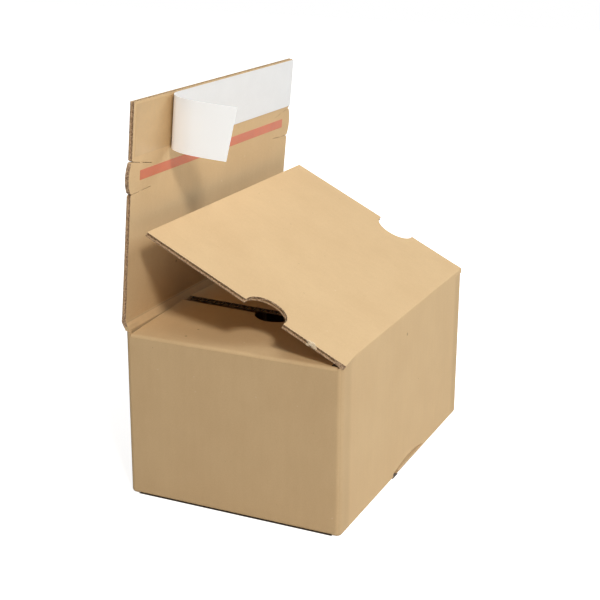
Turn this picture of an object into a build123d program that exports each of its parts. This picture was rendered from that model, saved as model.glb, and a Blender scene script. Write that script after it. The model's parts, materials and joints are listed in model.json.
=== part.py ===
from build123d import *

import os
from math import cos, radians, sin, tan

# Shipping carton with an automatic (crash-lock) bottom, folded and glued from one blank of
# corrugated board. It stands open: the front lid is part raised, the tall closure flap stands
# behind it, and the two dust flaps are folded in.
# Frame: X along the length, Y along the width, Z up; origin at the centre of the base.

# Carton, outside
length = 240.0
width = 160.0
corner_radius = 4.0
dust_fold_height = 118.0
lid_crest_rise = 3.0
spine_foot_rise = 1.5
bottom_bend_radius = 2.4
corner_foot = 6.0
end_wall_rise = 1.4
end_wall_recess = 5.0
end_flap_ramp = 6.0

# Corrugated board
board = 3.0
liner_ply = 0.45
medium_ply = 0.35
flute_pitch = 6.4
glued_crest = 1.8
channel_floor = 1.2
crushed_band = 6.0
fold_gap = 0.2
overrun = 1.0

# Front lid
lid_depth = 157.0
lid_open_angle = 26.4
lid_side_margin = 1.0
lid_notch_radius = 14.8
lid_notch_inset = 2.3
lid_notch_from_fold = 61.5

# Closure flap and the narrow spine that it folds over
closure_depth = 151.0
closure_lean = 4.8
closure_side_margin = 1.0
spine_length = 6.5
spine_lean = 25.0
closure_mitre = 20.0

# Tear tabs at the closure flap's side edges
tab_low = 89.3
tab_high = 111.6
tab_depth = 25.0
tab_low_rise = 1.2
tab_high_drop = 4.8
tab_bulge = 3.0
tab_root = 3.2
slit_width = 0.4
slit_shares = ((0.0, 0.40), (0.54, 1.0))
mouth_depth = 1.6
mouth_width = 1.8

# Tear tape, adhesive strip and release liner on the closure flap's inner face
tape_low = 97.5
tape_width = 6.6
tape_side_margin = 10.8
tape_ply = 0.15
adhesive_low = 114.4
adhesive_width = 34.8
adhesive_side_margin = 3.0
adhesive_ply = 0.15
release_low = 113.3
release_width = 36.9
release_ply = 0.25
release_far_overhang = 1.5
peel_line_from_near_edge = 53.0
peel_radius = 17.0
peeled_tail = 35.0
peeled_tail_return = 2.0
tail_corner_cut = 13.0

# Dust flaps, hinged to the end walls
near_flap_depth = 72.0
far_flap_depth = 157.0
dust_front_margin = 9.0
dust_back_room = 0.2
dust_lift = 3.8
dust_root_lap = 0.3
dust_slot_drop = 1.8
dust_notch_radius = 15.0
dust_notch_outset = 3.0
dust_notch_offset = 2.5
dust_bend_radius = 2.6

# Bottom flaps
bottom_rise = 3.2
bottom_ramp = 14.0
long_flap_end_gap = 4.0
lock_gap = 1.2
lock_step = 12.0
lock_neck = 10.0
lock_hook = 22.0
end_flap_depth = 72.0
end_flap_root_margin = 10.0
end_flap_glue_margin = 17.0
end_flap_tip = 30.0
end_flap_waist = 37.0
end_flap_shoulder = 27.0
crease_width = 1.2
crease_depth = 0.5

# Crescent cut in the front wall's bottom fold, over the bottom flap's edge
crescent_length = 60.6
crescent_height = 7.0
crescent_end_height = 3.9
crescent_offset = 8.3
crescent_mouth = 10.0
crescent_reach = 5.0

# Glued seam at the far back corner
seam_tab_width = 32.0
seam_tab_foot = 9.0
seam_tab_head = 9.0
seam_tab_taper = 8.0
seam_slit = 0.5
seam_slit_depth = 2.6

lid_crest_height = dust_fold_height + lid_crest_rise
spine_foot_height = dust_fold_height + spine_foot_rise
half_length = length / 2
half_width = width / 2
inner_half_length = half_length - board
inner_half_width = half_width - board
closure_span = length - 2 * closure_side_margin
lid_span = length - 2 * lid_side_margin
spine_side = sin(radians(spine_lean))
spine_up = cos(radians(spine_lean))
closure_fold_y = half_width + spine_length * spine_side
closure_fold_height = spine_foot_height + spine_length * spine_up


def across(points, start, stop):
    """A prism whose (x, z) outline runs along Y from start to stop."""
    outline = Plane.XZ * make_face(Polyline(*points, close=True))
    return Pos(0, start, 0) * extrude(outline, amount=-(stop - start))


def along(points, half_span):
    """A prism whose (y, z) outline runs along X, half_span each way."""
    outline = Plane.YZ * make_face(Polyline(*points, close=True))
    return extrude(outline, amount=half_span, both=True)


def plate(points, low, thickness):
    """A flat piece of board: its (x, y) outline, its lower face's height and its thickness."""
    return Pos(0, 0, low) * extrude(make_face(Polyline(*points, close=True)), amount=thickness)


def block(x_range, y_range, z_range):
    """A plain block between two corners."""
    size = [high - low for low, high in (x_range, y_range, z_range)]
    middle = [(low + high) / 2 for low, high in (x_range, y_range, z_range)]
    return Pos(*middle) * Box(*size)


def channel_outlines(span):
    """The (x, z) outlines of the open channels between the wavy medium and the two liners.

    The outer channels are cut open by the sheet's side edges."""
    pitches = round(span / flute_pitch)
    pitch = span / pitches
    wide = (pitch - glued_crest) / 2
    narrow = channel_floor / 2
    outlines = []
    for half_step in range(2 * pitches + 1):
        centre = -span / 2 + half_step * pitch / 2
        if half_step % 2 == 0:
            wide_z = board - liner_ply
            narrow_z = liner_ply + medium_ply
        else:
            wide_z = liner_ply
            narrow_z = board - liner_ply - medium_ply
        outlines.append([
            (centre - wide, wide_z), (centre + wide, wide_z),
            (centre + narrow, narrow_z), (centre - narrow, narrow_z),
        ])
    return outlines


def fluted_sheet(span, depth):
    """A board panel from its fold at y = 0 to its free edge, z from 0 to the board thickness.

    The flutes run from the band crushed by the fold to the free edge."""
    sheet = block((-span / 2, span / 2), (0, depth), (0, board))
    channels = [across(outline, crushed_band, depth + overrun) for outline in channel_outlines(span)]
    return sheet - channels


def front_lid():
    """The notched inner lid, hinged on the front wall, in its own plane with its top at z = 0."""
    lid = Pos(0, 0, -board) * fluted_sheet(lid_span, lid_depth)
    mitre = [
        (-overrun, overrun), (fold_gap - overrun, overrun),
        (fold_gap + board + overrun, -board - overrun), (-overrun, -board - overrun),
    ]
    lid -= along(mitre, half_length)
    for side in (-1, 1):
        centre = (side * (lid_span / 2 - lid_notch_inset), lid_notch_from_fold, -board / 2)
        lid -= Pos(*centre) * Cylinder(lid_notch_radius, board + 2 * overrun)
        reach = sorted((side * (lid_span / 2 - lid_notch_inset), side * (lid_span / 2 + overrun)))
        mouth = (lid_notch_from_fold - lid_notch_radius, lid_notch_from_fold + lid_notch_radius)
        lid -= block(reach, mouth, (-board - overrun, overrun))
    return lid


def tear_tab_cuts(side):
    """The perforated lines that free one tear tab, with the small mouths where they meet the edge."""
    edge = side * (closure_span / 2 + tab_bulge + overrun)
    rim = side * closure_span / 2
    tip = side * (closure_span / 2 - tab_depth)
    cuts = []
    for mouth_y, tip_y in ((tab_low, tab_low + tab_low_rise), (tab_high, tab_high - tab_high_drop)):
        half = slit_width / 2
        for shares in slit_shares:
            xs = [rim + share * (tip - rim) for share in shares]
            ys = [mouth_y + share * (tip_y - mouth_y) for share in shares]
            cuts.append(plate([
                (xs[0], ys[0] - half), (xs[0], ys[0] + half),
                (xs[1], ys[1] + half), (xs[1], ys[1] - half),
            ], -overrun, board + 2 * overrun))
        cuts.append(plate([
            (edge, mouth_y - mouth_width), (edge, mouth_y + mouth_width),
            (rim, mouth_y + mouth_width / 2), (rim - side * mouth_depth, mouth_y),
            (rim, mouth_y - mouth_width / 2),
        ], -overrun, board + 2 * overrun))
    return cuts


def closure_flap():
    """The tall outer flap in its own plane: outer face at z = 0, fold line at y = 0."""
    flap = fluted_sheet(closure_span, closure_depth)
    slope = tan(radians(closure_mitre))
    mitre = [
        (-overrun, -overrun), (fold_gap - overrun * slope, -overrun),
        (fold_gap + (board + overrun) * slope, board + overrun), (-overrun, board + overrun),
    ]
    flap -= along(mitre, half_length)
    tab_middle = (tab_low + tab_high) / 2
    tab_half = (tab_high - tab_low) / 2
    bulge_radius = (tab_half ** 2 + tab_bulge ** 2) / (2 * tab_bulge)
    for side in (-1, 1):
        rim = side * closure_span / 2
        circle = Pos(rim + side * (tab_bulge - bulge_radius), tab_middle, board / 2)
        bulge = circle * Cylinder(bulge_radius, board)
        reach = sorted((rim - side * tab_root, rim + side * (tab_bulge + overrun)))
        flap += bulge & block(reach, (tab_low, tab_high), (0, board))
        flap -= tear_tab_cuts(side)
    return flap


def tear_tape():
    """The red strip that rips the closure open, laid across the flap's inner face."""
    half_span = closure_span / 2 - tape_side_margin
    return block((-half_span, half_span), (tape_low, tape_low + tape_width), (board, board + tape_ply))


def adhesive_strip():
    """The band of glue that the release liner covers."""
    half_span = closure_span / 2 - adhesive_side_margin
    rows = (adhesive_low, adhesive_low + adhesive_width)
    return block((-half_span, half_span), rows, (board, board + adhesive_ply))


def release_liner():
    """The paper liner: flat on the glue, peeled back from the near end into a standing tail.

    The tail's low corner is cut back, clear of the lid's swing."""
    face = board + adhesive_ply
    far_end = closure_span / 2 + release_far_overhang
    peel_line = -closure_span / 2 + peel_line_from_near_edge
    ribbons = []
    for lift in (0, release_ply):
        radius = peel_radius - lift
        top = (peel_line - radius, face + peel_radius)
        ribbons.append((
            (far_end, face + lift), (peel_line, face + lift), top,
            (top[0] + peeled_tail_return, top[1] + peeled_tail),
        ))
    under, over = ribbons
    outline = [
        Line(under[0], under[1]),
        CenterArc((peel_line, face + peel_radius), peel_radius, 180, 90),
        Line(under[2], under[3]),
        Line(under[3], over[3]),
        Line(over[3], over[2]),
        CenterArc((peel_line, face + peel_radius), peel_radius - release_ply, 180, 90),
        Line(over[1], over[0]),
        Line(over[0], under[0]),
    ]
    ribbon = Plane.XZ * make_face(outline)
    liner = Pos(0, release_low, 0) * extrude(ribbon, amount=-release_width)
    tail_end = face + peel_radius + peeled_tail
    corner = [
        (release_low - overrun, tail_end + overrun),
        (release_low - overrun, tail_end - tail_corner_cut - overrun),
        (release_low + tail_corner_cut + overrun, tail_end + overrun),
    ]
    return liner - along(corner, half_length)


def wall_tube():
    """The four walls, with the rounded vertical folds and the bend round the bottom edge."""
    outer = RectangleRounded(length, width, corner_radius)
    inner = RectangleRounded(2 * inner_half_length, 2 * inner_half_width, corner_radius - board)
    tube = extrude(outer - inner, amount=lid_crest_height)
    foot = tube.faces().sort_by(Axis.Z)[0]
    return fillet(foot.outer_wire().edges(), bottom_bend_radius)


def wall_tops():
    """What is cut from the tube: above the end walls, above the back wall, and the lid's mitre.

    The front wall's crest runs as far as the lid does, and stands on a shoulder at each end."""
    slot_floor = dust_fold_height - dust_slot_drop
    shoulder = dust_fold_height - fold_gap
    straight = half_length - corner_radius
    bend_start = -half_width + corner_radius
    top = lid_crest_height + overrun
    cuts = [block((-half_length - overrun, half_length + overrun),
                  (half_width - corner_radius, half_width + overrun), (spine_foot_height, top))]
    for side in (-1, 1):
        outer = side * (half_length + overrun)
        tip = sorted((side * lid_span / 2, outer))
        reach = sorted((side * straight, outer))
        cuts.append(block(tip, (-half_width - overrun, -inner_half_width), (shoulder, top)))
        cuts.append(block(reach, (-inner_half_width, bend_start), (shoulder, top)))
        cuts.append(block(reach, (bend_start, half_width - corner_radius), (slot_floor, top)))
    crest = lid_crest_height - fold_gap
    cuts.append(along([
        (-half_width - overrun, crest + overrun), (-inner_half_width + overrun, crest - board - overrun),
        (-inner_half_width + overrun, top), (-half_width - overrun, top),
    ], half_length))
    return cuts


def end_wall_foot(side):
    """What lifts one end wall's bottom edge off the ground, between the two corner feet.

    The flap under the carton comes down to the ground behind it."""
    outer = half_length + overrun
    recess = half_length - end_wall_recess
    landing = recess - end_flap_ramp
    outline = [
        (outer, -overrun), (outer, end_wall_rise), (recess, end_wall_rise),
        (landing, 0), (landing, -overrun),
    ]
    sided = [(side * x, z) for x, z in outline]
    return across(sided, -half_width + corner_foot, half_width - corner_foot)


def spine():
    """The narrow panel between the two creases at the closure flap's base."""
    slope = tan(radians(closure_mitre))
    outer_top = (closure_fold_y - fold_gap * spine_side, closure_fold_height - fold_gap * spine_up)
    back_off = fold_gap + board * slope
    inner_top = (
        closure_fold_y - board * spine_up - back_off * spine_side,
        closure_fold_height + board * spine_side - back_off * spine_up,
    )
    foot_y = inner_half_width
    foot_rise = (inner_top[0] - foot_y) * spine_up / spine_side
    return along([
        (foot_y, spine_foot_height), (half_width, spine_foot_height), outer_top, inner_top,
        (foot_y, inner_top[1] - foot_rise),
    ], closure_span / 2)


def dust_flap(depth):
    """A flap folded in from the near end wall; its back corner springs up a little."""
    root_x = -inner_half_length
    free_x = -half_length + depth
    front_y = -half_width + dust_front_margin
    back_y = half_width - corner_radius - dust_back_room
    bend_start = -half_width + corner_radius
    top = dust_fold_height

    def section(x):
        """The flap's cut section at x, where its back corner has risen by a share of the lift."""
        lift = dust_lift * (x - root_x) / (free_x - root_x)
        corners = [(x, front_y, top - board), (x, back_y, top - board + lift),
                   (x, back_y, top + lift), (x, front_y, top)]
        return make_face(Polyline(*corners, close=True))

    sheet = loft([section(root_x - dust_root_lap), section(free_x)], ruled=True)
    bend = block((-half_length, root_x), (bend_start, back_y), (top - board - dust_slot_drop, top))
    outer_edge = bend.edges().filter_by(Axis.Y).sort_by(lambda edge: edge.center().Z - edge.center().X)[-1]
    flap = sheet + fillet(outer_edge, dust_bend_radius)

    span = back_y - front_y
    middle_y = (front_y + back_y) / 2
    run = free_x - root_x
    channels = []
    for outline in channel_outlines(span):
        centre = sum(x for x, z in outline) / len(outline)
        lift = dust_lift * (centre + span / 2) / span
        start = crushed_band / run
        begin_x = root_x + crushed_band
        mouth = [(begin_x, middle_y + x, top - board + z + lift * start) for x, z in outline]
        cut = make_face(Polyline(*mouth, close=True))
        reach = Vector(run - crushed_band + overrun, 0, lift * (1 - start))
        channels.append(extrude(cut, amount=reach.length, dir=reach))
    return flap - channels


def finger_notch():
    """The half-round finger notch in the near dust flap's free edge."""
    centre_x = -half_length + near_flap_depth + dust_notch_outset
    height = board + 2 * dust_lift + 2 * overrun
    return Pos(centre_x, dust_notch_offset, dust_fold_height) * Cylinder(dust_notch_radius, height)


def end_bottom_flap():
    """The lowest layer at the near end: a flap whose long corner is glued under the front flap."""
    root = -inner_half_length
    glue_y = -half_width + end_flap_glue_margin
    outline = [
        (root - board / 2, half_width - end_flap_root_margin),
        (root - board / 2, glue_y),
        (root + end_flap_depth, glue_y),
        (root + end_flap_depth, glue_y + end_flap_tip),
        (root + end_flap_waist, 0),
        (root + end_flap_shoulder, half_width / 2),
    ]
    flap = plate(outline, 0, board)
    run = end_flap_tip + end_flap_glue_margin
    fold = Line((root, -inner_half_width), (root + run, -inner_half_width + run))
    crease = trace(fold, crease_width)
    return flap - extrude(crease, amount=crease_depth)


def bottom():
    """The self-locking bottom: two long flaps hooked at the middle over two glued end flaps."""
    reach = inner_half_length - long_flap_end_gap
    ramp_y = inner_half_width - bottom_ramp
    half_profile = [(-inner_half_width, 0), (-ramp_y, bottom_rise)]
    upper_profile = [(-ramp_y, bottom_rise + board), (-inner_half_width, board)]
    mirrored = [(-y, z) for y, z in reversed(half_profile)]
    mirrored_upper = [(-y, z) for y, z in reversed(upper_profile)]
    floor = along(half_profile + mirrored + mirrored_upper + upper_profile, reach)
    path = Polyline(
        (-half_length, lock_step), (-lock_neck, lock_step), (-lock_hook, 0),
        (lock_hook, 0), (lock_neck, -lock_step), (half_length, -lock_step),
    )
    floor -= extrude(trace(path, lock_gap), amount=bottom_rise + board + overrun)
    flap = end_bottom_flap()
    return floor + flap + Rot(0, 0, 180) * flap


def glue_seam():
    """The glued tab inside the back wall, at the far end."""
    end = inner_half_length
    start = end - seam_tab_width
    foot = bottom_rise + board + seam_tab_foot
    head = dust_fold_height - board - seam_tab_head
    outline = [(end, foot), (start, foot + seam_tab_taper), (start, head - seam_tab_taper), (end, head)]
    return across(outline, inner_half_width - board, inner_half_width)


def crescent():
    """The crescent cut above the bottom flap's edge, and the mouth beside that edge at its near end."""
    bow = crescent_height - crescent_end_height
    radius = (crescent_length ** 2 / 4 + bow ** 2) / (2 * bow)
    reach = board + crescent_reach + overrun
    front = -half_width - overrun
    centre = (crescent_offset, front + reach / 2, crescent_height - radius)
    arch = Pos(*centre) * Rot(90, 0, 0) * Cylinder(radius, reach)
    near_end = crescent_offset - crescent_length / 2
    far_end = crescent_offset + crescent_length / 2
    mouth_end = near_end + crescent_mouth
    above = block((near_end, far_end), (front, -inner_half_width), (board, crescent_height))
    mouth = block((near_end, mouth_end), (front, -inner_half_width), (-overrun, crescent_height))
    within = block((near_end, mouth_end), (front, front + reach), (board, crescent_height))
    return arch & (above + mouth + within)


def carton_body():
    """Walls, bottom, dust flaps and spine: the one folded and glued sheet."""
    near = dust_flap(near_flap_depth) - finger_notch()
    far = mirror(dust_flap(far_flap_depth), about=Plane.YZ)
    body = wall_tube() - wall_tops()
    body = body + spine() + glue_seam() + bottom() + near + far
    body -= [crescent(), end_wall_foot(-1), end_wall_foot(1)]
    slit = (inner_half_length - seam_slit, inner_half_length)
    body -= block(slit, (half_width - seam_slit_depth, half_width + overrun),
                  (-overrun, spine_foot_height + overrun))
    return body


lid_plane = Plane(
    origin=(0, -half_width, lid_crest_height), x_dir=(1, 0, 0),
    z_dir=(0, -sin(radians(lid_open_angle)), cos(radians(lid_open_angle))),
)
closure_plane = Plane(
    origin=(0, closure_fold_y, closure_fold_height), x_dir=(1, 0, 0),
    z_dir=(0, -cos(radians(closure_lean)), -sin(radians(closure_lean))),
)

parts = {
    "carton_body": carton_body(),
    "front_lid": front_lid().moved(lid_plane.location),
    "closure_flap": closure_flap().moved(closure_plane.location),
    "tear_tape": tear_tape().moved(closure_plane.location),
    "adhesive_strip": adhesive_strip().moved(closure_plane.location),
    "release_liner": release_liner().moved(closure_plane.location),
}

os.makedirs("parts", exist_ok=True)
for name, shape in parts.items():
    export_step(shape, f"parts/{name}.step")
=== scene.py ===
import json
from math import cos, pi, radians, sin

import bmesh
import bpy
from mathutils import Matrix, Vector, noise


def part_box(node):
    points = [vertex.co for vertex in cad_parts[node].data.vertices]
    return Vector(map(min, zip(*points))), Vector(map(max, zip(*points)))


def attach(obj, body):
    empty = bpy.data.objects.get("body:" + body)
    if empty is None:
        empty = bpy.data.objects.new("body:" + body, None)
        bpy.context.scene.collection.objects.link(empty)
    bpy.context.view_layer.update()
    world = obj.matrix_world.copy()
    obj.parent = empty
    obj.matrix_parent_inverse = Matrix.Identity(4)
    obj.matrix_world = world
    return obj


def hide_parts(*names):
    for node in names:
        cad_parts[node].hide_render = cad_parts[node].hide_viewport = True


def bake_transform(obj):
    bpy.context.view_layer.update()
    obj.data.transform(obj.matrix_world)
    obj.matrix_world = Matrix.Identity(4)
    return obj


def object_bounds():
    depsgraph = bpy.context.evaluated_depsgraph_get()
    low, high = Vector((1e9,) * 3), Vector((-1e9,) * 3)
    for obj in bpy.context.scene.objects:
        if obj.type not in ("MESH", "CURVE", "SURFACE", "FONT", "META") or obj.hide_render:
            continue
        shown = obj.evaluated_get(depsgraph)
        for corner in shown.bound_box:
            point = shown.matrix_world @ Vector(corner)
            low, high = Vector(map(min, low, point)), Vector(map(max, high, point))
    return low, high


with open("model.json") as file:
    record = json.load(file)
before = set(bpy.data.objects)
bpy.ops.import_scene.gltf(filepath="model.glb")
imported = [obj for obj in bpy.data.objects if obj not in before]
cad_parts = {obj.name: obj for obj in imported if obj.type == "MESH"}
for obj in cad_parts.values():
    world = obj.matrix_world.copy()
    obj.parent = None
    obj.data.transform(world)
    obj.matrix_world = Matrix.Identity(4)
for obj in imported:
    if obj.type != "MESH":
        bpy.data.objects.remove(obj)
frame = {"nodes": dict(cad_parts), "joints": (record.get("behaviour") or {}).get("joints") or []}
cad_low, cad_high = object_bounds()

# The folded sheet: kraft board made of recycled brown paper, with its wavy medium pressed faintly
# through both liners. One group gives every board piece its pulp, flecks, flute bands and raw
# cut edge, and lays in the painted shade it is given; here it dresses the walls, the bottom and
# the two dust flaps.
board = 0.003
flute_pitch = 0.0064
flute_turn = 2 * pi / flute_pitch
body_low, body_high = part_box("carton_body")
half_length, half_width = body_high.x, -body_low.y
dust_underside = 0.1145
edge_room = 0.0005
lip_low, lip_high = -0.0222, 0.0388
lip_top = 0.0024
# Distances from the end walls where the long walls' painted shade holds and where it has faded.
corner_shade_band = (0.0105, 0.01785)
kraft_light = (0.710, 0.512, 0.292, 1.0)
kraft_deep = (0.650, 0.455, 0.254, 1.0)
cut_dark = (0.250, 0.150, 0.095, 1.0)
cut_ply = (0.640, 0.450, 0.290, 1.0)
fleck_dark = (0.330, 0.215, 0.120, 1.0)
fleck_pale = (0.820, 0.670, 0.460, 1.0)
# Painted shade: the dark colour laid where a board piece's shade mask is given.
painted_shade_colour = (0.205, 0.125, 0.070, 1.0)

# The pattern's noises, each by its scale, detail and roughness, and what each adds to the tone
# and to the relief.
drift_noise = (26.0, 2.0, 0.5)
streak_noise = (150.0, 3.0, 0.6)
streak_stretch = (1.0, 1.0, 0.4)
pulp_noise = (900.0, 4.0, 0.65)
drift_tone, streak_tone, pulp_tone, flute_tone = 0.36, 0.22, 0.42, 0.008
tone_range = (0.30, 0.72)
flute_relief, pulp_relief, streak_relief = 0.15, 0.55, 0.80
fray_range = (0.38, 0.62)
streak_range = (0.3, 0.7)
paper_roughness = (0.76, 0.88)
paper_gloss = 0.2
paper_bump, paper_depth = 0.30, 0.00015

# The flecks: colour, cells to a metre, rarity, size in a cell, strength and stretch of each kind.
flecks = (
    (fleck_dark, 75.0, 0.80, 0.10, 0.70, (1.0, 1.0, 1.0)),
    (fleck_dark, 210.0, 0.90, 0.16, 0.22, (1.0, 1.0, 1.0)),
    (fleck_pale, 120.0, 0.90, 0.12, 0.30, (0.9, 0.9, 1.1)),
)
fleck_edge = 0.03

# How squarely a face looks along an axis, from 0 to 1, to count as a wall, an edge or a lip; the
# height over which a flute shows on the lip; and how dark the painted shade is beside the upright
# corners and in the gap between the dust flaps.
wall_facing, edge_facing, lip_facing = 0.6, 0.75, 0.2
flute_valley = -0.3
corner_shade, gap_shade = 0.13, 0.92


def shade(tree, kind, **settings):
    """A shader node of that kind, with its plain properties set."""
    node = tree.nodes.new(kind)
    for name, value in settings.items():
        setattr(node, name, value)
    return node


def feed(tree, source, target):
    """Joins an output socket, or gives a plain value, to an input socket."""
    if isinstance(source, bpy.types.NodeSocket):
        tree.links.new(source, target)
    else:
        target.default_value = source


def sums(tree, operation, *values):
    """One arithmetic step."""
    node = shade(tree, "ShaderNodeMath", operation=operation)
    for value, socket in zip(values, node.inputs):
        feed(tree, value, socket)
    return node.outputs[0]


def unsigned(tree, value):
    """A value without its sign."""
    return sums(tree, "ABSOLUTE", value)


def over(tree, value, limit):
    """1 where a value is over its limit, 0 elsewhere."""
    return sums(tree, "GREATER_THAN", value, limit)


def under(tree, value, limit):
    """1 where a value is under its limit, 0 elsewhere."""
    return sums(tree, "LESS_THAN", value, limit)


def every(tree, first, *others):
    """The product of the masks, 1 where all of them hold."""
    for mask in others:
        first = sums(tree, "MULTIPLY", first, mask)
    return first


def highest(tree, first, *others):
    """The highest of the values."""
    for value in others:
        first = sums(tree, "MAXIMUM", first, value)
    return first


def weighted(tree, *terms):
    """The sum of the values, each times its weight."""
    parts = [sums(tree, "MULTIPLY", value, weight) for value, weight in terms]
    whole = parts[0]
    for part in parts[1:]:
        whole = sums(tree, "ADD", whole, part)
    return whole


def ramp(tree, value, low, high, start=0.0, end=1.0):
    """A smooth step of a value, from start at low to end at high."""
    node = shade(tree, "ShaderNodeMapRange", interpolation_type="SMOOTHSTEP")
    names = ("Value", "From Min", "From Max", "To Min", "To Max")
    for source, name in zip((value, low, high, start, end), names):
        feed(tree, source, node.inputs[name])
    return node.outputs["Result"]


def blended(tree, share, first, second):
    """A mix of two colours, by the Mix node's colour sockets."""
    node = shade(tree, "ShaderNodeMix", data_type="RGBA")
    feed(tree, share, node.inputs[0])
    feed(tree, first, node.inputs[6])
    feed(tree, second, node.inputs[7])
    return node.outputs[2]


def axes(tree, vector):
    """A vector's three parts."""
    node = shade(tree, "ShaderNodeSeparateXYZ")
    feed(tree, vector, node.inputs[0])
    return node.outputs


def cloud(tree, vector, scale, detail, roughness):
    """Fractal noise over a vector, about 0.5."""
    node = shade(tree, "ShaderNodeTexNoise")
    feed(tree, vector, node.inputs["Vector"])
    feed(tree, scale, node.inputs["Scale"])
    feed(tree, detail, node.inputs["Detail"])
    feed(tree, roughness, node.inputs["Roughness"])
    return node.outputs["Fac"]


def stretched(tree, vector, stretch):
    """A vector with its three directions scaled apart."""
    node = shade(tree, "ShaderNodeVectorMath", operation="MULTIPLY")
    feed(tree, vector, node.inputs[0])
    feed(tree, stretch, node.inputs[1])
    return node.outputs[0]


def specks(tree, vector, scale, rarity, size):
    """Scattered specks: 1 inside the few cells that hold one, 0 elsewhere."""
    cell = shade(tree, "ShaderNodeTexVoronoi")
    feed(tree, vector, cell.inputs["Vector"])
    feed(tree, scale, cell.inputs["Scale"])
    split = shade(tree, "ShaderNodeSeparateColor")
    feed(tree, cell.outputs["Color"], split.inputs[0])
    radius = sums(tree, "MULTIPLY", split.outputs[1], size)
    depth = sums(tree, "SUBTRACT", radius, cell.outputs["Distance"])
    return every(tree, over(tree, split.outputs[0], rarity), ramp(tree, depth, 0.0, fleck_edge))


def roughened(tree, height, strength, depth):
    """The normal of a surface with a height pattern of that real depth."""
    bump = shade(tree, "ShaderNodeBump")
    feed(tree, strength, bump.inputs["Strength"])
    feed(tree, depth, bump.inputs["Distance"])
    feed(tree, height, bump.inputs["Height"])
    return bump.outputs["Normal"]


def new_group(name, taken, given):
    """A node group with its named inputs and outputs, and the sockets inside it."""
    tree = bpy.data.node_groups.new(name, "ShaderNodeTree")
    for in_out, sockets in (("INPUT", taken), ("OUTPUT", given)):
        for label, kind in sockets.items():
            tree.interface.new_socket(label, in_out=in_out, socket_type="NodeSocket" + kind)
    return tree, shade(tree, "NodeGroupInput").outputs, shade(tree, "NodeGroupOutput").inputs


def new_material(name):
    """A material, its tree, its surface shader and the places on the piece."""
    material = bpy.data.materials.new(name)
    material.use_nodes = True
    tree = material.node_tree
    return material, tree, tree.nodes["Principled BSDF"], shade(tree, "ShaderNodeTexCoord").outputs


def kraft_group():
    """Pulp, flecks, flute bands, raw edges and painted shade of kraft board, from places and masks.
    """
    tree, taken, given = new_group(
        "kraft board",
        {"Place": "Vector", "Across": "Float", "Light": "Color", "Deep": "Color",
         "Cut": "Float", "PaintedShade": "Float"},
        {"Color": "Color", "Height": "Float", "Roughness": "Float"})
    place = taken["Place"]
    drift = cloud(tree, place, *drift_noise)
    streaks = cloud(tree, stretched(tree, place, streak_stretch), *streak_noise)
    pulp = cloud(tree, place, *pulp_noise)
    wave = sums(tree, "COSINE", sums(tree, "MULTIPLY", taken["Across"], flute_turn))
    tone = weighted(
        tree, (drift, drift_tone), (streaks, streak_tone), (pulp, pulp_tone), (wave, flute_tone))
    paper = blended(tree, ramp(tree, tone, *tone_range), taken["Deep"], taken["Light"])
    for colour, scale, rarity, size, strength, stretch in flecks:
        spots = specks(tree, stretched(tree, place, stretch), scale, rarity, size)
        paper = blended(tree, sums(tree, "MULTIPLY", spots, strength), paper, colour)
    raw = blended(tree, ramp(tree, pulp, *fray_range), cut_dark, cut_ply)
    whole = blended(tree, taken["Cut"], paper, raw)
    # Painted shade: the paper and cut colours darken by the shade mask.
    feed(tree, blended(tree, taken["PaintedShade"], whole, painted_shade_colour), given["Color"])
    relief = weighted(tree, (wave, flute_relief), (pulp, pulp_relief), (streaks, streak_relief))
    feed(tree, relief, given["Height"])
    feed(tree, ramp(tree, streaks, *streak_range, *paper_roughness), given["Roughness"])
    return tree


kraft = kraft_group()


def board_material(name, across, cut, painted_shade):
    """Kraft board: functions give its place across the flutes, its cut mask and its painted shade.
    """
    material, tree, surface, where = new_material(name)
    spot = axes(tree, where["Object"])
    facing = axes(tree, where["Normal"])
    group = shade(tree, "ShaderNodeGroup", node_tree=kraft)
    feed(tree, where["Object"], group.inputs["Place"])
    feed(tree, across(tree, spot, facing), group.inputs["Across"])
    feed(tree, kraft_light, group.inputs["Light"])
    feed(tree, kraft_deep, group.inputs["Deep"])
    feed(tree, cut(tree, spot, facing), group.inputs["Cut"])
    feed(tree, painted_shade(tree, spot, facing), group.inputs["PaintedShade"])
    feed(tree, paper_gloss, surface.inputs["Specular IOR Level"])
    feed(tree, group.outputs["Color"], surface.inputs["Base Color"])
    feed(tree, group.outputs["Roughness"], surface.inputs["Roughness"])
    normal = roughened(tree, group.outputs["Height"], paper_bump, paper_depth)
    feed(tree, normal, surface.inputs["Normal"])
    return material


def dress(node, material):
    """Gives a CAD node its real material."""
    slots = frame["nodes"][node].data.materials
    slots.clear()
    slots.append(material)


def body_across(tree, spot, facing):
    """Flutes run upright in the walls, lengthways in the dust flaps, crossways in the bottom."""
    end_wall = over(tree, unsigned(tree, facing[0]), wall_facing)
    level = over(tree, unsigned(tree, facing[2]), wall_facing)
    high = over(tree, spot[2], dust_underside / 2)
    along_y = highest(tree, end_wall, every(tree, level, high))
    return weighted(tree, (spot[0], sums(tree, "SUBTRACT", 1.0, along_y)), (spot[1], along_y))


def dust_edges(tree, spot, facing):
    """The dust flaps' raw edges and open flutes, inside the walls."""
    inside_ends = under(tree, unsigned(tree, spot[0]), half_length - board + edge_room)
    inside_sides = under(tree, unsigned(tree, spot[1]), half_width - board - edge_room)
    high = over(tree, spot[2], dust_underside)
    upright = under(tree, unsigned(tree, facing[2]), edge_facing)
    return every(tree, inside_ends, inside_sides, high, upright)


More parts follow.
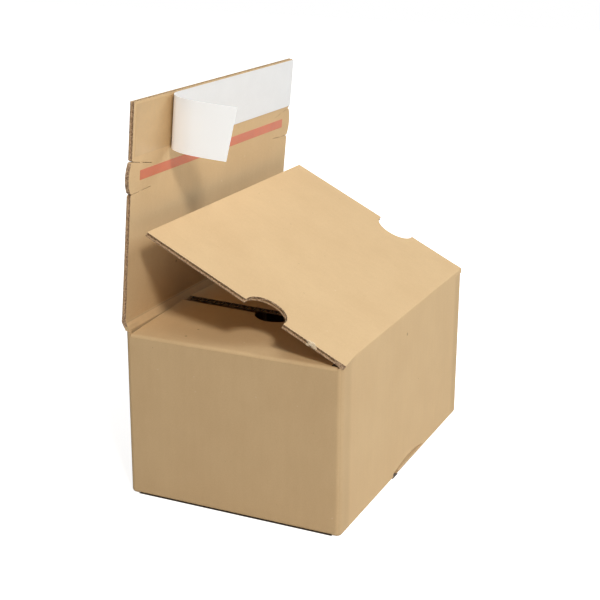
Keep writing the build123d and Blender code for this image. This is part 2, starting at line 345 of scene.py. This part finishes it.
def body_cut(tree, spot, facing):
    """The dust flaps' raw edges, and the stripes of flutes along the bottom flap's lip."""
    fluting = sums(tree, "SINE", sums(tree, "MULTIPLY", spot[0], flute_turn))
    along = every(tree, over(tree, spot[0], lip_low), under(tree, spot[0], lip_high))
    front = every(tree, under(tree, spot[2], lip_top), under(tree, facing[1], -lip_facing))
    lip = every(tree, along, front, over(tree, fluting, flute_valley))
    return highest(tree, dust_edges(tree, spot, facing), lip)


def body_painted_shade(tree, spot, facing):
    """Painted shade on the long walls by the upright corners, and in the gap between the dust
    flaps.
    """
    from_end = sums(tree, "SUBTRACT", half_length, unsigned(tree, spot[0]))
    long_wall = over(tree, unsigned(tree, facing[1]), wall_facing)
    band = every(tree, long_wall, ramp(tree, from_end, *corner_shade_band, corner_shade, 0.0))
    gap = sums(tree, "MULTIPLY", dust_edges(tree, spot, facing), gap_shade)
    return highest(tree, band, gap)


dress("carton_body", board_material("carton kraft", body_across, body_cut, body_painted_shade))

# The front lid: one more panel of the same sheet, hinged on the front wall. Its side edges are
# cut along the flutes and its free edge across them.
hinge_places = {joint["name"]: Vector(joint["pos_m"]) for joint in frame["joints"]}
lid_fold = hinge_places["lid_fold"]
lid_low, lid_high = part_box("front_lid")
lid_angle = radians(26.4)
lid_along = Vector((0, cos(lid_angle), sin(lid_angle)))
lid_out = Vector((0, -sin(lid_angle), cos(lid_angle)))
liner_facing = 0.85


def flap_across(tree, spot, facing):
    """The flutes of the two outer flaps run from the fold to the free edge."""
    return spot[0]


def facing_along(tree, facing, direction):
    """How squarely a face looks along a direction of the carton's cross-section, either way."""
    return unsigned(tree, weighted(tree, (facing[1], direction.y), (facing[2], direction.z)))


def lid_cut(tree, spot, facing):
    """Every face that isn't one of the lid's two liners."""
    return under(tree, facing_along(tree, facing, lid_out), liner_facing)


def no_painted_shade(tree, spot, facing):
    """A panel with no painted shade."""
    return 0.0


dress("front_lid", board_material("lid kraft", flap_across, lid_cut, no_painted_shade))

# The lid's fold: the board itself bends here, crushed along a scored line. A sleeve of the same
# paper closes the solids' mitred gap, and swells a little where the near corner is worn.
sleeve = 0.00008
sleeve_cuts = 48
lid_fold_radius = 0.00032
bend_steps = 6
sharp_turn = radians(30.0)
lid_wall_reach = 0.0034
lid_panel_reach = 0.0060
flap_span = lid_high.x - lid_low.x
corner_swell = 0.0022
corner_swell_run = 0.030
end_facing = 0.7
down, forward, lengthwise = Vector((0, 0, -1)), Vector((0, -1, 0)), Vector((1, 0, 0))


def piece_from(mesh, name):
    """Turns a finished bmesh into a piece at the origin."""
    data = bpy.data.meshes.new(name)
    mesh.to_mesh(data)
    mesh.free()
    piece = bpy.data.objects.new(name, data)
    bpy.context.scene.collection.objects.link(piece)
    return piece


def new_ones(made, kind):
    """The vertices or edges among what an operator made."""
    return [item for item in made if isinstance(item, kind)]


def fold_sleeve(name, fold, first, second, radius):
    """A closed sleeve round a fold, over the outer flaps' whole width.

    Each of the two panels gives its direction, its outward side and how far the sleeve reaches.
    """
    (way_1, out_1, reach_1), (way_2, out_2, reach_2) = first, second
    span = flap_span + 2 * sleeve
    mitre = (out_1 + out_2) / (1 + out_1.dot(out_2))
    inner = board + sleeve
    section = [
        fold + reach_1 * way_1 + sleeve * out_1, fold + sleeve * mitre,
        fold + reach_2 * way_2 + sleeve * out_2, fold + reach_2 * way_2 - inner * out_2,
        fold - inner * mitre, fold + reach_1 * way_1 - inner * out_1,
    ]
    bends = (section[1], section[4])
    mesh = bmesh.new()
    start = Vector((-span / 2, 0, 0))
    end_face = mesh.faces.new([mesh.verts.new(point + start) for point in section])
    swept = bmesh.ops.extrude_face_region(mesh, geom=[end_face])["geom"]
    bmesh.ops.translate(mesh, verts=new_ones(swept, bmesh.types.BMVert), vec=(span, 0, 0))

    def lengthways():
        """The edges that run from end to end."""
        return [edge for edge in mesh.edges
                if abs(edge.verts[0].co.x - edge.verts[1].co.x) > span / 2]

    corners = [edge for edge in lengthways()
               if min((edge.verts[0].co.yz - bend.yz).length for bend in bends) < sleeve]
    bmesh.ops.bevel(
        mesh, geom=corners, offset=radius, segments=bend_steps, profile=0.5, affect="EDGES",
        material=-1)
    bmesh.ops.subdivide_edges(mesh, edges=lengthways(), cuts=sleeve_cuts)
    bmesh.ops.recalc_face_normals(mesh, faces=mesh.faces[:])
    for edge in mesh.edges:
        edge.smooth = edge.calc_face_angle(0.0) < sharp_turn
    for face in mesh.faces:
        face.smooth = abs(face.normal.x) < end_facing
    return piece_from(mesh, name)


def sleeve_cut(tree, spot, facing):
    """The sleeve's two ends, which carry on the raw side edges."""
    return over(tree, unsigned(tree, facing[0]), end_facing)


lid_sleeve = fold_sleeve(
    "lid_fold_sleeve", lid_fold, (down, forward, lid_wall_reach),
    (lid_along, lid_out, lid_panel_reach), lid_fold_radius)
for point in lid_sleeve.data.vertices:
    near = max(0.0, 1 - (point.co.x - lid_low.x) / corner_swell_run)
    close = max(0.0, 1 - (point.co.yz - lid_fold.yz).length / board)
    point.co -= lid_along * corner_swell * near * near * close
lid_sleeve.data.materials.append(
    board_material("lid fold kraft", flap_across, sleeve_cut, no_painted_shade))
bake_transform(lid_sleeve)

# Torn fibres: a pale tuft of liner paper that the cutting die tore up on the lid's near edge. It
# is a few ragged lumps of pulp, each given by its place and its size beside the first.
tuft_from_fold = 0.0243
tuft_size = Vector((0.0010, 0.0031, 0.0016))
tuft_lumps = (
    ((0.0, 0.0, -0.0004), 1.0), ((0.0, -0.0030, -0.0016), 0.55), ((0.0, 0.0022, -0.0024), 0.45))
tuft_raggedness, tuft_grain, tuft_scatter = 0.45, 1.7, 900
tuft_fineness, tuft_gaps, tuft_octaves = 0.9, 2.2, 3
tuft_pale = (0.900, 0.800, 0.640, 1.0)
tuft_noise = (1600.0, 3.0, 0.7)
tuft_tone_range = (0.35, 0.65)
tuft_roughness = 0.9
tuft_bump, tuft_depth = 0.6, 0.0003


def turned(first, second, third):
    """The turn that brings the three axes to these directions."""
    return Matrix((first, second, third)).transposed().to_4x4()


def torn_fibres():
    """The lumps side by side on the lid's raw edge, in the lid's own directions."""
    mesh = bmesh.new()
    root = lid_fold + tuft_from_fold * lid_along
    for offset, share in tuft_lumps:
        lump = bmesh.ops.create_icosphere(mesh, subdivisions=3, radius=1.0)["verts"]
        for point in lump:
            ragged = noise.fractal(
                point.co * tuft_grain + Vector(offset) * tuft_scatter,
                tuft_fineness, tuft_gaps, tuft_octaves)
            point.co *= 1 + tuft_raggedness * ragged
            point.co = Vector(point.co[k] * tuft_size[k] * share + offset[k] for k in range(3))
    bmesh.ops.transform(mesh, matrix=turned(lengthwise, lid_along, lid_out), verts=mesh.verts)
    bmesh.ops.translate(mesh, verts=mesh.verts, vec=Vector((lid_low.x, root.y, root.z)))
    bmesh.ops.recalc_face_normals(mesh, faces=mesh.faces[:])
    return piece_from(mesh, "torn_fibres")


def fibre_material():
    """Loose pale fibres, between the board's brown and bare pulp."""
    material, tree, surface, where = new_material("torn liner fibres")
    fluff = cloud(tree, where["Object"], *tuft_noise)
    colour = blended(tree, ramp(tree, fluff, *tuft_tone_range), kraft_light, tuft_pale)
    feed(tree, colour, surface.inputs["Base Color"])
    feed(tree, tuft_roughness, surface.inputs["Roughness"])
    feed(tree, roughened(tree, fluff, tuft_bump, tuft_depth), surface.inputs["Normal"])
    return material


tuft = torn_fibres()
tuft.data.materials.append(fibre_material())
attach(tuft, "lid")

# The closure flap: the tall panel behind the lid, with perforated tear tabs at its sides where the
# red tape starts. Its inner face is the carton's inside liner.
closure_fold = hinge_places["closure_fold"]
closure_lean = radians(4.8)
closure_up = Vector((0, -sin(closure_lean), cos(closure_lean)))
closure_in = Vector((0, -cos(closure_lean), -sin(closure_lean)))
closure_frame = Matrix.Translation(closure_fold) @ turned(lengthwise, closure_up, closure_in)
free_edge_paleness = 0.85


def closure_cut(tree, spot, facing):
    """Every face that isn't one of the flap's two liners; the edges along its height are paler."""
    edges = under(tree, facing_along(tree, facing, closure_in), liner_facing)
    free = over(tree, facing_along(tree, facing, closure_up), liner_facing)
    pale = sums(tree, "MULTIPLY", free, free_edge_paleness)
    return every(tree, edges, sums(tree, "SUBTRACT", 1.0, pale))


dress("closure_flap", board_material("closure kraft", flap_across, closure_cut, no_painted_shade))

# The closure's fold: the upper of the two scored lines at the flap's base, where it meets the
# narrow spine panel. The shallow groove pressed on the inside is drawn only as a line of painted
# shade.
spine_lean = radians(25.0)
spine_down = Vector((0, -sin(spine_lean), -cos(spine_lean)))
spine_out = Vector((0, cos(spine_lean), -sin(spine_lean)))
closure_fold_radius = 0.00035
closure_reach = 0.0042
groove_drop = 0.0003
groove_height = closure_fold.z + board * sin(closure_lean) - groove_drop
groove_half = 0.0007
groove_shade = 0.30


def closure_painted_groove(tree, spot, facing):
    """Painted shade along the pressed line on the inside of the fold."""
    from_groove = unsigned(tree, sums(tree, "SUBTRACT", spot[2], groove_height))
    return ramp(tree, from_groove, 0.0, groove_half, groove_shade, 0.0)


closure_sleeve = fold_sleeve(
    "closure_fold_sleeve", closure_fold, (spine_down, spine_out, closure_reach),
    (closure_up, -closure_in, closure_reach), closure_fold_radius)
closure_sleeve.data.materials.append(
    board_material("closure fold kraft", flap_across, sleeve_cut, closure_painted_groove))
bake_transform(closure_sleeve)

# The tear tape: a thin red strip of film, laid on the flap while the board is made. The flutes
# and the pulp under it show through a little.
tape_red = (0.625, 0.172, 0.084, 1.0)
film_grain = (420.0, 3.0, 0.5)
film_patches = (60.0, 2.0, 0.5)
film_tone = 0.5
film_tone_range = (0.35, 0.65)
film_grain_range = (0.3, 0.7)
film_roughness_spread = 0.06
film_coat_roughness = 0.25
film_depth = 0.0001


def film_group():
    """The mottle and the fine relief of a thin film over board."""
    tree, taken, given = new_group(
        "film over board",
        {"Place": "Vector", "Worn": "Color", "Clear": "Color", "Smooth": "Float", "Rough": "Float"},
        {"Color": "Color", "Height": "Float", "Roughness": "Float"})
    grain = cloud(tree, taken["Place"], *film_grain)
    patches = cloud(tree, taken["Place"], *film_patches)
    tone = weighted(tree, (grain, film_tone), (patches, film_tone))
    colour = blended(tree, ramp(tree, tone, *film_tone_range), taken["Worn"], taken["Clear"])
    roughness = ramp(tree, grain, *film_grain_range, taken["Smooth"], taken["Rough"])
    feed(tree, colour, given["Color"])
    feed(tree, grain, given["Height"])
    feed(tree, roughness, given["Roughness"])
    return tree


film = film_group()


def film_material(name, colour, worn_share, roughness, coat, relief):
    """A thin film over board, a share of its colour where it is worn."""
    material, tree, surface, where = new_material(name)
    group = shade(tree, "ShaderNodeGroup", node_tree=film)
    feed(tree, where["Object"], group.inputs["Place"])
    worn = tuple(worn_share * channel for channel in colour[:3]) + (1.0,)
    feed(tree, worn, group.inputs["Worn"])
    feed(tree, colour, group.inputs["Clear"])
    feed(tree, roughness - film_roughness_spread, group.inputs["Smooth"])
    feed(tree, roughness + film_roughness_spread, group.inputs["Rough"])
    feed(tree, group.outputs["Color"], surface.inputs["Base Color"])
    feed(tree, group.outputs["Roughness"], surface.inputs["Roughness"])
    feed(tree, coat, surface.inputs["Coat Weight"])
    feed(tree, film_coat_roughness, surface.inputs["Coat Roughness"])
    normal = roughened(tree, group.outputs["Height"], relief, film_depth)
    feed(tree, normal, surface.inputs["Normal"])
    return material


dress("tear_tape", film_material(
    "red tear tape", tape_red, worn_share=0.90, roughness=0.5, coat=0.05, relief=0.2))

# The adhesive: a clear, slightly amber film that stays on the board where the liner is off. It
# reaches from edge to edge under the liner, just clear of the flap's sides.
adhesive_amber = (0.625, 0.425, 0.218, 1.0)
adhesive_ply = 0.00015
dress("adhesive_strip", film_material(
    "amber adhesive", adhesive_amber, worn_share=0.93, roughness=0.45, coat=0.10, relief=0.2))

# The release liner: siliconised white paper, stuck flat along the adhesive and peeled back from
# the near end. The free tail curls up off the flap; a painted glow stands in for the light that
# comes through it.
liner_low, liner_high = 0.1133, 0.1502
liner_face = board + adhesive_ply
liner_ply = 0.00022
liner_far = 0.1205
peel_line = -0.0645
curls = ((0.016, 62.0), (0.034, 28.0), (0.170, 8.0))
curl_steps = 14
tail_low_end = 0.0517
tail_high_end = 0.0568
tail_spare = 0.012
liner_white = (0.835, 0.846, 0.862, 1.0)
liner_glow = 0.28
glow_lift = 0.008
glow_white = (0.97, 0.99, 1.0, 1.0)


def release_paper():
    """The ribbon in the closure flap's own frame: a flat run, then arcs that open as they rise."""
    mesh = bmesh.new()
    ends = [mesh.verts.new((liner_far, height, liner_face)) for height in (liner_low, liner_high)]
    run = bmesh.ops.extrude_edge_only(mesh, edges=[mesh.edges.new(ends)])["geom"]
    to_peel = Vector((peel_line - liner_far, 0, 0))
    bmesh.ops.translate(mesh, verts=new_ones(run, bmesh.types.BMVert), vec=to_peel)
    last = new_ones(run, bmesh.types.BMEdge)[0]
    heading = 0.0
    for radius, turn in curls:
        middle = (last.verts[0].co + last.verts[1].co) / 2
        centre = middle + radius * Vector((sin(radians(heading)), 0, cos(radians(heading))))
        spun = bmesh.ops.spin(
            mesh, geom=[last, *last.verts], cent=centre, axis=(0, 1, 0), angle=radians(turn),
            steps=curl_steps)
        last = new_ones(spun["geom_last"], bmesh.types.BMEdge)[0]
        heading += turn
    way = Vector((-cos(radians(heading)), 0, sin(radians(heading))))
    spare = bmesh.ops.extrude_edge_only(mesh, edges=[last])["geom"]
    bmesh.ops.translate(mesh, verts=new_ones(spare, bmesh.types.BMVert), vec=tail_spare * way)
    slant = Vector((0, tail_low_end - tail_high_end, liner_high - liner_low)).normalized()
    everything = mesh.verts[:] + mesh.edges[:] + mesh.faces[:]
    bmesh.ops.bisect_plane(
        mesh, geom=everything, plane_co=(0, liner_low, tail_low_end), plane_no=slant,
        clear_outer=True)
    bmesh.ops.solidify(mesh, geom=mesh.faces[:], thickness=liner_ply)
    bmesh.ops.recalc_face_normals(mesh, faces=mesh.faces[:])
    bmesh.ops.transform(mesh, matrix=closure_frame, verts=mesh.verts)
    return piece_from(mesh, "release_paper")


def glow_where_lifted(material):
    """A painted glow where the paper has left the board, for the light that comes through it."""
    tree = material.node_tree
    surface = tree.nodes["Principled BSDF"]
    where = shade(tree, "ShaderNodeTexCoord")
    height = shade(tree, "ShaderNodeVectorMath", operation="DOT_PRODUCT")
    feed(tree, where.outputs["Object"], height.inputs[0])
    feed(tree, closure_in, height.inputs[1])
    stuck = closure_fold.dot(closure_in) + liner_face
    lift = sums(tree, "SUBTRACT", height.outputs["Value"], stuck)
    # Painted light: the glow is emission, not light passing through the paper.
    glow = ramp(tree, lift, 0.0, glow_lift, 0.0, liner_glow)
    feed(tree, glow_white, surface.inputs["Emission Color"])
    feed(tree, glow, surface.inputs["Emission Strength"])


paper = release_paper()
paper_material = film_material(
    "white liner paper", liner_white, worn_share=0.975, roughness=0.45, coat=0.05, relief=0.1)
glow_where_lifted(paper_material)
paper.data.materials.append(paper_material)
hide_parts("release_liner")
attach(paper, "closure")

# The stage: a pale floor that shows white to the camera, but not under the carton, where it is
# painted dark as painted shade, which shows below the raised end walls and in the crescent's mouth.
floor_size = 6.0
floor_grey = (0.60, 0.60, 0.60, 1.0)
floor_painted_shade = (0.150, 0.128, 0.115, 1.0)
shade_step = 0.0005
foot_length = 0.006
mouth_half = 0.0055
floor_near, floor_far = 0.10, 0.55
floor_glow_near, floor_glow_far = 0.86, 1.05


def seen_plainly(tree):
    """1 for the camera's own rays, and for those that metal and glass send on."""
    rays = shade(tree, "ShaderNodeLightPath").outputs
    return highest(tree, rays["Is Camera Ray"], rays["Is Glossy Ray"], rays["Is Transmission Ray"])


def floor_material():
    """Plain diffuse floor with its own white for the camera; under the carton, painted shade."""
    material, tree, surface, where = new_material("pale floor")
    tree.nodes.remove(surface)
    spot = axes(tree, where["Object"])
    past_end = sums(tree, "SUBTRACT", unsigned(tree, spot[0]), half_length)
    past_side = sums(tree, "SUBTRACT", unsigned(tree, spot[1]), half_width)
    past_foot = sums(tree, "ADD", past_side, foot_length)
    from_mouth = unsigned(tree, sums(tree, "SUBTRACT", spot[0], lip_low + mouth_half))
    past_mouth = highest(tree, sums(tree, "SUBTRACT", from_mouth, mouth_half), past_side)
    hidden = sums(tree, "MINIMUM", highest(tree, past_end, past_foot), past_mouth)
    clear = ramp(tree, hidden, -shade_step, 0.0)
    beyond = highest(tree, past_end, past_side)
    strength = ramp(tree, beyond, floor_near, floor_far, floor_glow_near, floor_glow_far)
    plain = shade(tree, "ShaderNodeBsdfDiffuse")
    # Painted shade: the floor's colour turns dark under the carton.
    feed(tree, blended(tree, clear, floor_painted_shade, floor_grey), plain.inputs["Color"])
    glow = shade(tree, "ShaderNodeEmission")
    feed(tree, every(tree, clear, strength), glow.inputs["Strength"])
    both = shade(tree, "ShaderNodeAddShader")
    feed(tree, plain.outputs[0], both.inputs[0])
    feed(tree, glow.outputs[0], both.inputs[1])
    choice = shade(tree, "ShaderNodeMixShader")
    feed(tree, seen_plainly(tree), choice.inputs[0])
    feed(tree, plain.outputs[0], choice.inputs[1])
    feed(tree, both.outputs[0], choice.inputs[2])
    feed(tree, choice.outputs[0], tree.nodes["Material Output"].inputs["Surface"])
    return material


floor_mesh = bmesh.new()
bmesh.ops.create_grid(floor_mesh, x_segments=1, y_segments=1, size=floor_size / 2)
floor = piece_from(floor_mesh, "floor")
floor.data.materials.append(floor_material())

# The light: an even room, a small soft panel at the front left, which throws the lid's shadow on
# the dust flap, and two wide ones at the front and overhead, as in a small product studio.
room_strength = 0.15
room_colour = (1.0, 0.95, 0.87, 1.0)
plain_white = (1.0, 1.0, 1.0, 1.0)
key_place, key_size, key_power = (-2.05, -1.85, 2.40), 0.50, 67.0
key_colour = (1.0, 0.945, 0.86)
fill_place, fill_size, fill_power = (0.40, -1.40, 1.30), 0.9, 12.6
fill_colour = (0.92, 0.985, 1.04)
top_place, top_size, top_power = (-0.20, -0.40, 1.80), 0.9, 7.2
top_colour = (0.94, 0.985, 1.02)
carton_middle = (cad_low + cad_high) / 2


def studio_light():
    """The world's even light, which shows plain white to the camera."""
    world = bpy.data.worlds.new("studio")
    bpy.context.scene.world = world
    world.use_nodes = True
    tree = world.node_tree
    tree.nodes.clear()
    choice = shade(tree, "ShaderNodeMixShader")
    feed(tree, seen_plainly(tree), choice.inputs[0])
    lights = ((room_colour, room_strength), (plain_white, 1.0))
    for number, (colour, strength) in enumerate(lights, 1):
        light = shade(tree, "ShaderNodeBackground")
        feed(tree, colour, light.inputs["Color"])
        feed(tree, strength, light.inputs["Strength"])
        feed(tree, light.outputs[0], choice.inputs[number])
    result = shade(tree, "ShaderNodeOutputWorld")
    feed(tree, choice.outputs[0], result.inputs["Surface"])


def panel_light(name, place, size, power, colour):
    """A square soft panel that faces the carton."""
    light = bpy.data.lights.new(name, "AREA")
    light.shape = "SQUARE"
    light.size = size
    light.energy = power
    light.color = colour
    lamp = bpy.data.objects.new(name, light)
    lamp.location = place
    lamp.rotation_mode = "QUATERNION"
    lamp.rotation_quaternion = (carton_middle - Vector(place)).to_track_quat("-Z", "Y")
    bpy.context.scene.collection.objects.link(lamp)


studio_light()
panel_light("key panel", key_place, key_size, key_power, key_colour)
panel_light("fill panel", fill_place, fill_size, fill_power, fill_colour)
panel_light("top panel", top_place, top_size, top_power, top_colour)

# The camera: at the photograph's angle, a little above the carton and to its near left corner.
camera_place = Vector((-0.8276, -0.3744, 0.4100))
camera_azimuth = radians(-65.383)
camera_elevation = radians(17.814)
camera_roll = radians(0.334)
camera_lens = 78.2
camera_sensor = 36.0


def photo_camera():
    """The camera that sees the carton as the photograph does."""
    ahead = Vector((
        -sin(camera_azimuth) * cos(camera_elevation),
        cos(camera_azimuth) * cos(camera_elevation),
        -sin(camera_elevation),
    ))
    level_right = Vector((cos(camera_azimuth), sin(camera_azimuth), 0))
    level_up = level_right.cross(ahead)
    right = cos(camera_roll) * level_right + sin(camera_roll) * level_up
    up = cos(camera_roll) * level_up - sin(camera_roll) * level_right
    data = bpy.data.cameras.new("camera")
    data.lens = camera_lens
    data.sensor_width = camera_sensor
    camera = bpy.data.objects.new("camera", data)
    camera.matrix_world = Matrix.Translation(camera_place) @ turned(right, up, -ahead)
    bpy.context.scene.collection.objects.link(camera)
    bpy.context.scene.camera = camera


photo_camera()
bpy.context.scene.view_settings.view_transform = "Standard"
